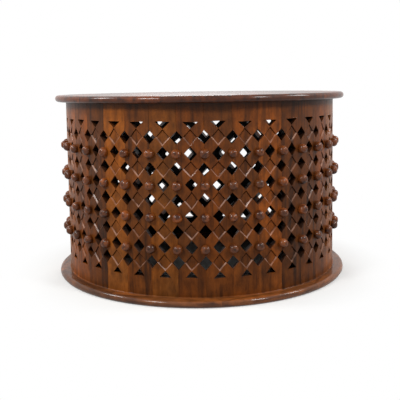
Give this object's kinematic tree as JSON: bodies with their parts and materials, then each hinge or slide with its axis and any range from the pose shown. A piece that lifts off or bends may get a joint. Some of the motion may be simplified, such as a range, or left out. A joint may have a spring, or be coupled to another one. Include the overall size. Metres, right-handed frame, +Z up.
{
  "type": "african drum table",
  "caption": "Round low table: coopered hardwood drum cut through as a diamond lattice, set with turned knobs, under an overhanging round top and on a wider base ring.",
  "frame": {"origin": "on the floor, under the middle of the table", "axes": "+Z up along the axis of the drum, -Y out of the front, where two staves meet on the centre line"},
  "size_m": [0.75, 0.75, 0.46],
  "materials": {
    "stave_dark": "dark stained hardwood under satin lacquer",
    "stave_mid": "stained hardwood under satin lacquer",
    "stave_amber": "light stained hardwood under satin lacquer",
    "knob": "turned hardwood under satin lacquer",
    "base_ring": "stained hardwood under satin lacquer",
    "top_board": "stained hardwood under satin lacquer",
    "cleat": "planed hardwood, unfinished"
  },
  "bodies": {
    "root": {"stave_01": "stave_mid", "stave_02": "stave_mid", "stave_03": "stave_mid", "stave_04": "stave_dark", "stave_05": "stave_dark", "stave_06": "stave_mid", "stave_07": "stave_amber", "stave_08": "stave_mid", "stave_09": "stave_dark", "stave_10": "stave_mid", "stave_11": "stave_amber", "stave_12": "stave_dark", "stave_13": "stave_mid", "stave_14": "stave_mid", "stave_15": "stave_amber", "stave_16": "stave_mid", "stave_17": "stave_dark", "stave_18": "stave_mid", "stave_19": "stave_amber", "stave_20": "stave_mid", "stave_21": "stave_dark", "stave_22": "stave_mid", "stave_23": "stave_mid", "stave_24": "stave_amber", "stave_25": "stave_mid", "stave_26": "stave_dark", "stave_27": "stave_mid", "stave_28": "stave_mid", "stave_29": "stave_amber", "stave_30": "stave_mid", "stave_31": "stave_mid", "stave_32": "stave_dark", "stave_33": "stave_amber", "stave_34": "stave_dark", "stave_35": "stave_amber", "stave_36": "stave_mid", "knob_row_1": "knob", "knob_row_2": "knob", "knob_row_3": "knob", "knob_row_4": "knob", "base_segment_1": "base_ring", "base_segment_2": "base_ring", "base_segment_3": "base_ring", "base_segment_4": "base_ring", "base_segment_5": "base_ring", "base_segment_6": "base_ring", "base_segment_7": "base_ring", "base_segment_8": "base_ring", "base_segment_9": "base_ring", "top_board_1": "top_board", "top_board_2": "top_board", "top_board_3": "top_board", "top_board_4": "top_board", "top_board_5": "top_board", "top_board_6": "top_board", "top_board_7": "top_board", "top_board_8": "top_board", "top_cleats": "cleat"}
  },
  "joints": []
}
